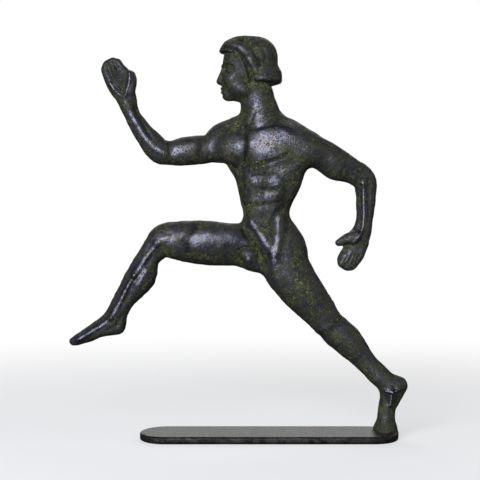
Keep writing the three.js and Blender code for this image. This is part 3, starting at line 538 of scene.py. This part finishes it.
def plate(p):
    """The distance from the base, a plate with half-oval ends and rounded edges"""
    half, straight = BASE["thickness"] / 2, BASE["length"] / 2 - BASE["end"]
    rx, ry, edge = BASE["end"], BASE["depth"] / 2, BASE["edge"]
    x = np.maximum(np.abs(p[:, 0]) - straight, 0)
    qx, qy = x / rx, p[:, 1] / ry
    reach = np.hypot(qx, qy)
    side = reach * (reach - 1) / np.maximum(np.hypot(qx / rx, qy / ry), 1e-6)
    side = side + edge
    level = np.abs(p[:, 2] - half) - half + edge
    outside = np.hypot(np.maximum(side, 0), np.maximum(level, 0))
    return outside + np.minimum(np.maximum(side, level), 0) - edge


def casting(p):
    """The distance from the skin of the whole casting, in millimetres"""
    skin = melted(np.full(len(p), 1e3), p, BODY, 3)
    skin = melted(skin, p, DIGITS, 0.45)
    front = np.clip(0.5 - p[:, 1] / STROKE_FADE, 0, 1)
    skin = strokes_on(skin, p[:, ::2], front, FRONT_STROKES)
    skin = strokes_on(skin, p[:, ::2], 1 - front, BACK_STROKES)
    near = np.flatnonzero((p[:, 2] > 138) & (np.abs(p[:, 0] + 8) < 18))
    if len(near):
        skin[near] = melt(skin[near], head(p[near]), 1.4)
    skin = np.maximum(skin, BASE["thickness"] / 2 - p[:, 2])
    return melt(skin, plate(p), 1.2)


def unevenness(p):
    """Slight swells and dips that the wax model leaves in a hand-finished casting"""
    swell = np.zeros(len(p))
    for n, length in enumerate((11, 7.5, 5.2, 3.7)):
        turn = 2.4 * n
        a = np.array((math.cos(turn), 0.7, math.sin(turn))) * math.tau / length
        b = np.array((-math.sin(turn), 0.5, math.cos(turn))) * math.tau / (1.2 * length)
        swell += length * np.sin(p @ a + n) * np.sin(p @ b + 2 * n)
    return swell / 11


class CastingSettings(bpy.types.PropertyGroup):
    """Sizes of the refined casting"""

    grid: bpy.props.FloatProperty(
        name="Grid", description="Spacing of the skin's mesh", default=0.00075, min=0.0005, unit="LENGTH"
    )
    swell: bpy.props.FloatProperty(
        name="Unevenness",
        description="How far the hand-modelled skin swells and dips",
        default=0.00009,
        min=0.0,
        unit="LENGTH",
    )
    settle: bpy.props.IntProperty(
        name="Settling", description="Rounds that bring the skin onto the form", default=3, min=1
    )


class PatinaSettings(bpy.types.PropertyGroup):
    """Colours and finish of the bronze"""

    # The dark colour is the unworn metal and the base's dark blotches; in the grooves it is painted shade, laid
    # where the grooves fall into shadow
    dark: bpy.props.FloatVectorProperty(
        name="Dark patina", description="Dirt in the grooves", default=(0.004, 0.0042, 0.0035), subtype="COLOR"
    )
    metal: bpy.props.FloatVectorProperty(
        name="Metal",
        description="Dark satin metal where the patina is rubbed off",
        default=(0.09, 0.092, 0.115),
        subtype="COLOR",
    )
    rust: bpy.props.FloatVectorProperty(
        name="Brown", description="Warm tint of the metal", default=(0.085, 0.078, 0.08), subtype="COLOR"
    )
    teal: bpy.props.FloatVectorProperty(
        name="Blue-green", description="Cool patches of the patina", default=(0.016, 0.019, 0.014), subtype="COLOR"
    )
    olive: bpy.props.FloatVectorProperty(
        name="Olive", description="Warm patches of the patina", default=(0.045, 0.048, 0.02), subtype="COLOR"
    )
    bright: bpy.props.FloatVectorProperty(
        name="Yellow-green",
        description="Flecks where the patina lies thickest",
        default=(0.13, 0.14, 0.04),
        subtype="COLOR",
    )
    base: bpy.props.FloatVectorProperty(
        name="Base", description="Brown patina of the base", default=(0.03, 0.026, 0.022), subtype="COLOR"
    )
    grain: bpy.props.FloatProperty(
        name="Grain", description="Depth of the cast grain", default=0.00005, min=0.0, unit="LENGTH"
    )


class StageSettings(bpy.types.PropertyGroup):
    """Floor, light and camera"""

    floor: bpy.props.FloatVectorProperty(
        name="Floor", description="Colour of the floor", default=(0.9, 0.9, 0.9), subtype="COLOR"
    )
    eye: bpy.props.FloatVectorProperty(
        name="Camera",
        description="Where the camera stands",
        default=(-0.0122, -0.44, 0.0837),
        subtype="TRANSLATION",
        unit="LENGTH",
    )
    lens: bpy.props.FloatProperty(
        name="Lens", description="Focal length in millimetres", default=78.3, min=1.0
    )


class Wire:
    """A value in a material. Arithmetic on it adds Math nodes, and node() adds any other node."""

    def __init__(self, tree, socket=None):
        self.tree = tree
        self.socket = socket

    def node(self, kind, settings=None, values=None, output=0):
        made = self.tree.nodes.new(kind)
        settings = dict(settings or {})
        stops = settings.pop("stops", None)
        for name, setting in settings.items():
            setattr(made, name, setting)
        if stops:
            ramp = made.color_ramp
            while len(ramp.elements) < len(stops):
                ramp.elements.new(0.5)
            for element, (place, shade) in zip(ramp.elements, stops):
                element.position = place
                element.color = (*shade, 1) if isinstance(shade, tuple) else (shade, shade, shade, 1)
        for name, value in (values or {}).items():
            if isinstance(value, Wire):
                self.tree.links.new(value.socket, made.inputs[name])
            else:
                made.inputs[name].default_value = value
        return Wire(self.tree, made.outputs[output]) if made.outputs else None

    def math(self, operation, a, b=0.0):
        return self.node("ShaderNodeMath", {"operation": operation}, {0: a, 1: b})

    def __add__(self, other):
        return self.math("ADD", self, other)

    __radd__ = __add__

    def __sub__(self, other):
        return self.math("SUBTRACT", self, other)

    def __rsub__(self, other):
        return self.math("SUBTRACT", other, self)

    def __mul__(self, other):
        return self.math("MULTIPLY", self, other)

    __rmul__ = __mul__

    def ramp(self, low, high):
        """From 0 at low to 1 at high, smoothly"""
        settings = {"interpolation_type": "SMOOTHSTEP", "clamp": True}
        values = {"Value": self, "From Min": low, "From Max": high}
        return self.node("ShaderNodeMapRange", settings, values)

    def mix(self, a, b):
        """Colour a where this is 0 and b where it is 1"""
        a, b = (c if isinstance(c, Wire) else (*c, 1) for c in (a, b))
        return self.node("ShaderNodeMix", {"data_type": "RGBA"}, {0: self, 6: a, 7: b}, 2)


def noise(place, size, detail=3.0, roughness=0.6, distortion=0.0):
    """Cloudy noise around 0 on a place in millimetres, with features of about the given size"""
    values = {"Vector": place, "Scale": 1 / size, "Detail": detail}
    values.update({"Roughness": roughness, "Distortion": distortion})
    return 6 * (place.node("ShaderNodeTexNoise", None, values) - 0.5)


def bronze_material(settings):
    """Cast bronze: dark satin metal under a patchy green patina that gathers in the dips, with painted shade
    darkening the grooves and a painted sheen of lighter metal where the skin faces the key light
    """
    material = bpy.data.materials.new("patinated_bronze")
    material.use_nodes = True
    tree = material.node_tree
    tree.nodes.clear()
    start = Wire(tree)
    place = start.node("ShaderNodeTexCoord", output="Object")
    scale = {"operation": "SCALE"}
    place = start.node("ShaderNodeVectorMath", scale, {0: place, "Scale": 1 / MM})
    height = start.node("ShaderNodeSeparateXYZ", None, {"Vector": place}, "Z")
    groove, thick_and_shade, rubbed_and_sheen = (
        start.node("ShaderNodeAttribute", {"attribute_name": name}, output="Fac")
        for name in ("groove", "thick_and_shade", "rubbed_and_sheen")
    )

    figure = height.ramp(2.9, 4.5)
    patch = noise(place, 5, 3, 0.6, 0.6)
    blotch = noise(place, 1.7, 3, 0.75, 1.2)
    grit = noise(place, 0.7, 2, 0.6, 0.4)
    pits = (0.7 - 0.6 * rubbed_and_sheen) * noise(place, 0.9, 2, 0.6, 0.3).ramp(0.15, 0.8)
    tint = noise(place, 4, 3, 0.6)
    # Negative places in the patina table lower this towards dark metal, in part as painted shade
    lie = 0.4 * patch + 0.5 * blotch + 0.5 * grit + 0.9 * thick_and_shade - 0.9 * rubbed_and_sheen
    patina = figure * (lie + 0.4).ramp(-0.35, 0.45)
    bright = figure * (lie + 0.3 * grit + 0.2 * tint).ramp(0.5, 1.5)
    # Metal where the patina is worn off, and painted sheen where the mask follows the key light: lighter, bluish and
    # metallic
    bare_and_sheen = (1 - patina) * (0.1 + 0.9 * rubbed_and_sheen)

    metal = tint.ramp(-0.6, 0.6).mix(tuple(settings.metal), tuple(settings.rust))
    metal = bare_and_sheen.mix(tuple(settings.dark), metal)
    green = (0.6 * tint + 0.6 * blotch + 0.7 * grit).ramp(-0.6, 0.9).mix(tuple(settings.teal), tuple(settings.olive))
    colour = patina.mix(metal, green)
    colour = bright.mix(colour, tuple(settings.bright))
    base = (blotch + patch).ramp(-0.8, 0.8).mix(tuple(settings.dark), tuple(settings.base))
    colour = (1 - figure).mix(colour, base)
    # Pits are dark specks of the casting; the groove term is painted shade, darkening the grooves towards near-black
    colour = (pits + 0.7 * groove).mix(colour, tuple(settings.dark))
    rough = 0.42 + 0.3 * patina + 0.05 * grit

    grain = 0.4 * grit + 0.6 * blotch + 0.4 * patch
    bump = start.node(
        "ShaderNodeBump", None, {"Strength": 1.0, "Distance": settings.grain, "Height": grain}
    )
    shader = start.node(
        "ShaderNodeBsdfPrincipled",
        None,
        {
            "Base Color": colour,
            "Metallic": bare_and_sheen,
            "Roughness": rough,
            "Normal": bump,
            "IOR": 1.3,
        },
    )
    start.node("ShaderNodeOutputMaterial", None, {"Surface": shader})
    return material


def array_of(items, attribute, width):
    """A mesh's values of one kind as an array"""
    flat = np.empty(len(items) * width)
    items.foreach_get(attribute, flat)
    return flat.reshape(-1, width)


def averaged(values, edges, rounds, share=0.5):
    """Values on vertices, each drawn again and again towards the average of its neighbours"""
    count = np.bincount(edges.ravel(), minlength=len(values))[:, None]
    for _ in range(rounds):
        total = np.zeros_like(values)
        for axis in range(values.shape[1]):
            for a, b in (edges.T, edges.T[::-1]):
                total[:, axis] += np.bincount(a, values[b, axis], len(values))
        values = values + share * (total / count - values)
    return values


def slope_of(points, skin):
    """The direction in which the form's distance grows, at each point"""
    step = 0.01
    moved = [casting(points + step * axis) - skin for axis in np.eye(3)]
    return np.stack(moved, 1) / step


def evened(mesh, grid):
    """A new mesh of the same solid, with even faces of the given size"""
    source = bpy.data.objects.new("even_skin", mesh)
    bpy.context.scene.collection.objects.link(source)
    remesh = source.modifiers.new("even skin", "REMESH")
    remesh.mode = "VOXEL"
    remesh.voxel_size = grid
    made = bpy.data.meshes.new_from_object(source.evaluated_get(bpy.context.evaluated_depsgraph_get()))
    bpy.data.objects.remove(source)
    return made


def fine_region(points):
    """Which points are on the head, on a hand or beside a narrow stroke, where the faces are smaller"""
    x, y, z = points.T
    narrow = [row for row in FRONT_STROKES if row[1] < 2]
    relief = strokes_on(np.zeros(len(points)), points[:, ::2], (y < 0.5) * 1.0, narrow)
    return (z > 143) | ((x > 27) & (z > 69) & (z < 87)) | (np.abs(relief) > 0.03)


def copy_of_node():
    """The CAD node's solid as one connected mesh"""
    shape = bmesh.new()
    shape.from_mesh(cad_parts[NODE].data)
    bmesh.ops.remove_doubles(shape, verts=shape.verts, dist=1e-6)
    mesh = bpy.data.meshes.new("solid")
    shape.to_mesh(mesh)
    shape.free()
    return mesh


def refined(mesh):
    """The mesh with smaller faces where the detail is fine"""
    shape = bmesh.new()
    shape.from_mesh(mesh)
    fine = fine_region(np.array([v.co for v in shape.verts]) / MM)
    shape.verts.ensure_lookup_table()
    edges = [e for e in shape.edges if all(fine[v.index] for v in e.verts)]
    bmesh.ops.subdivide_edges(shape, edges=edges, cuts=1, use_grid_fill=True)
    bmesh.ops.recalc_face_normals(shape, faces=shape.faces)
    shape.to_mesh(mesh)
    shape.free()


def settled(mesh, rounds):
    """Brings the skin onto the form: its points in millimetres, the way out at each, and its edges"""
    points = array_of(mesh.vertices, "co", 3) / MM
    edges = array_of(mesh.edges, "vertices", 2).astype(int)
    for turn in range(rounds):
        skin = casting(points)
        slope = slope_of(points, skin)
        steep = np.maximum((slope**2).sum(1), 0.2)
        points = points - slope * np.clip(skin / steep, -1.5, 1.5)[:, None]
        if turn < rounds - 1:
            away = slope / np.sqrt(steep)[:, None]
            drift = averaged(points, edges, 1, 0.6) - points
            points += drift - (drift * away).sum(1)[:, None] * away
    mesh.vertices.foreach_set("co", (points * MM).ravel())
    return points, slope / np.maximum(np.linalg.norm(slope, axis=1), 1e-6)[:, None], edges


def note(mesh, name, values):
    """Keeps a value from 0 to 1 at each vertex, for the patina, the painted shade and the painted sheen"""
    mesh.attributes.new(name, "FLOAT", "POINT").data.foreach_set("value", np.clip(values, 0, 1))


def note_finish(mesh, points, away, edges):
    """Notes where the form is worn down to metal and given a painted sheen, and where the patina lies heavy with
    listed places darkened as painted shade, by its shape and by place
    """
    broad = ((averaged(points, edges, 40) - points) * away).sum(1)
    # Skin that faces front and back, towards the key light, is made to read as worn metal: painted sheen
    facing = np.abs(averaged(away, edges, 12)[:, 1])
    places = points[:, ::2]
    share = np.clip(0.8 - points[:, 1] / STROKE_FADE, 0.5, 1)
    rubbed_and_sheen = -strokes_on(np.zeros(len(points)), places, share, RUBBED_AND_SHEEN)
    # Negative places in this table darken the colour, in part as painted shade
    thick_and_shade = -strokes_on(np.zeros(len(points)), places, share, THICK_AND_SHADE)
    note(mesh, "rubbed_and_sheen", 0.1 + 0.25 * facing**2 - 0.4 * broad + rubbed_and_sheen)
    note(mesh, "thick_and_shade", 0.1 + 0.8 * broad + thick_and_shade)


def finish_skin(mesh, points, away, swell):
    """Adds the slight unevenness of a hand-finished casting above the base, and notes the grooves, which the
    material darkens as painted shade
    """
    front = np.clip(0.5 - points[:, 1] / STROKE_FADE, 0, 1)
    relief = strokes_on(np.zeros(len(points)), points[:, ::2], front, FRONT_STROKES)
    head = (points[:, 2] > 149.5) * np.clip(np.abs(points[:, 1] - HEAD_MIDDLE) / 3 - 0.3, 0, 1)
    relief = strokes_on(relief, points[:, ::2], head, HAIR_STROKES)
    # The groove value darkens the colour in the material: painted shade
    note(mesh, "groove", 1.6 * relief - 0.1)
    above = np.clip((points[:, 2:] - BASE["thickness"]) / 2, 0, 1)
    points = points + away * above * (unevenness(points) * swell / MM)[:, None]
    mesh.vertices.foreach_set("co", (points * MM).ravel())


class STATUETTE_OT_casting(bpy.types.Operator):
    """Builds the athlete and the base as one casting with its patina"""

    bl_idname = "statuette.casting"
    bl_label = "Athlete and base"

    def execute(self, context):
        settings = context.scene.statuette_casting
        mesh = evened(copy_of_node(), settings.grid)
        note_finish(mesh, *settled(mesh, settings.settle))
        refined(mesh)
        points, away, _ = settled(mesh, settings.settle)
        finish_skin(mesh, points, away, settings.swell)
        mesh.name = "bronze_athlete"
        mesh.shade_smooth()
        piece = bpy.data.objects.new("bronze_athlete", mesh)
        context.scene.collection.objects.link(piece)
        mesh.materials.clear()
        mesh.materials.append(bronze_material(context.scene.statuette_patina))
        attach(piece, "root")
        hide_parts(NODE)
        return {"FINISHED"}


def floor_material(colour):
    """A pale matt floor that brightens to plain white away from the middle"""
    material = bpy.data.materials.new("pale_floor")
    material.use_nodes = True
    tree = material.node_tree
    tree.nodes.clear()
    start = Wire(tree)
    place = start.node("ShaderNodeTexCoord", output="Object")
    length = {"operation": "LENGTH"}
    away = start.node("ShaderNodeVectorMath", length, {0: place}, "Value").ramp(0.1, 0.5)
    away = 0.45 + 0.55 * away
    matt = start.node("ShaderNodeBsdfDiffuse", None, {"Color": (*colour, 1)})
    white = start.node("ShaderNodeEmission", None, {"Color": (1, 1, 1, 1), "Strength": 1.0})
    both = start.node("ShaderNodeMixShader", None, {0: away, 1: matt, 2: white})
    start.node("ShaderNodeOutputMaterial", None, {"Surface": both})
    return material


def soft_light(name, place, target, size, power, colour=(1, 1, 1)):
    """A square soft light at a place, aimed at a target"""
    data = bpy.data.lights.new(name, "AREA")
    data.shape = "SQUARE"
    data.size = size
    data.energy = power
    data.color = colour
    lamp = bpy.data.objects.new(name, data)
    lamp.visible_camera = False
    lamp.location = place
    aim = np.subtract(target, place)
    lamp.rotation_euler = (
        math.atan2(math.hypot(aim[0], aim[1]), -aim[2]),
        0,
        math.atan2(aim[0], -aim[1]) + math.pi,
    )
    bpy.context.scene.collection.objects.link(lamp)


class STATUETTE_OT_stage(bpy.types.Operator):
    """Sets the pale floor, the soft light and the camera"""

    bl_idname = "statuette.stage"
    bl_label = "Stage"

    def execute(self, context):
        scene, settings = context.scene, context.scene.statuette_stage
        shape = bmesh.new()
        bmesh.ops.create_circle(shape, cap_ends=True, radius=3, segments=64)
        mesh = bpy.data.meshes.new("floor")
        shape.to_mesh(mesh)
        shape.free()
        mesh.materials.append(floor_material(settings.floor))
        floor = bpy.data.objects.new("floor", mesh)
        floor.visible_diffuse = floor.visible_glossy = False
        scene.collection.objects.link(floor)

        world = bpy.data.worlds.new("studio")
        world.use_nodes = True
        tree = world.node_tree
        tree.nodes.clear()
        start = Wire(tree)
        seen = start.node("ShaderNodeLightPath", output="Is Camera Ray")
        light = start.node("ShaderNodeBackground", None, {"Color": (1, 1, 1, 1), "Strength": 0.05})
        white = start.node("ShaderNodeBackground", None, {"Color": (1, 1, 1, 1), "Strength": 1.0})
        both = start.node("ShaderNodeMixShader", None, {0: seen, 1: light, 2: white})
        start.node("ShaderNodeOutputWorld", None, {"Surface": both})
        scene.world = world

        middle = (-0.01, 0, 0.09)
        soft_light("key", (-0.26, -0.76, 0.22), middle, 0.6, 13, (0.94, 0.98, 1.08))
        soft_light("fill", (0.8, -0.1, 0.4), middle, 0.5, 1.2)
        soft_light("wall", (0, 0.9, 0.6), middle, 1.2, 7)

        data = bpy.data.cameras.new("camera")
        data.lens = settings.lens
        data.clip_start = 0.01
        camera = bpy.data.objects.new("camera", data)
        camera.location = settings.eye
        camera.rotation_euler = (math.pi / 2, 0, 0)
        scene.collection.objects.link(camera)
        scene.camera = camera
        scene.view_settings.view_transform = "Standard"
        return {"FINISHED"}


class STATUETTE_PT_panel(bpy.types.Panel):
    """Lists the statuette's operators and settings"""

    bl_idname = "STATUETTE_PT_panel"
    bl_label = "Running athlete"
    bl_space_type = "VIEW_3D"
    bl_region_type = "UI"
    bl_category = "Statuette"

    def draw(self, context):
        for operator in OPERATORS:
            self.layout.operator(operator.bl_idname)
        for group in GROUPS:
            settings = getattr(context.scene, group)
            box = self.layout.box()
            for name in settings.bl_rna.properties.keys():
                if name not in ("rna_type", "name"):
                    box.prop(settings, name)


GROUPS = {
    "statuette_casting": CastingSettings,
    "statuette_patina": PatinaSettings,
    "statuette_stage": StageSettings,
}
OPERATORS = (STATUETTE_OT_casting, STATUETTE_OT_stage)


def register():
    for group, settings in GROUPS.items():
        bpy.utils.register_class(settings)
        setattr(bpy.types.Scene, group, bpy.props.PointerProperty(type=settings))
    for operator in OPERATORS:
        bpy.utils.register_class(operator)
    bpy.utils.register_class(STATUETTE_PT_panel)


def unregister():
    bpy.utils.unregister_class(STATUETTE_PT_panel)
    for operator in OPERATORS:
        bpy.utils.unregister_class(operator)
    for group, settings in GROUPS.items():
        delattr(bpy.types.Scene, group)
        bpy.utils.unregister_class(settings)


def main():
    register()
    bpy.ops.statuette.casting()
    bpy.ops.statuette.stage()


if __name__ == "__main__":
    main()
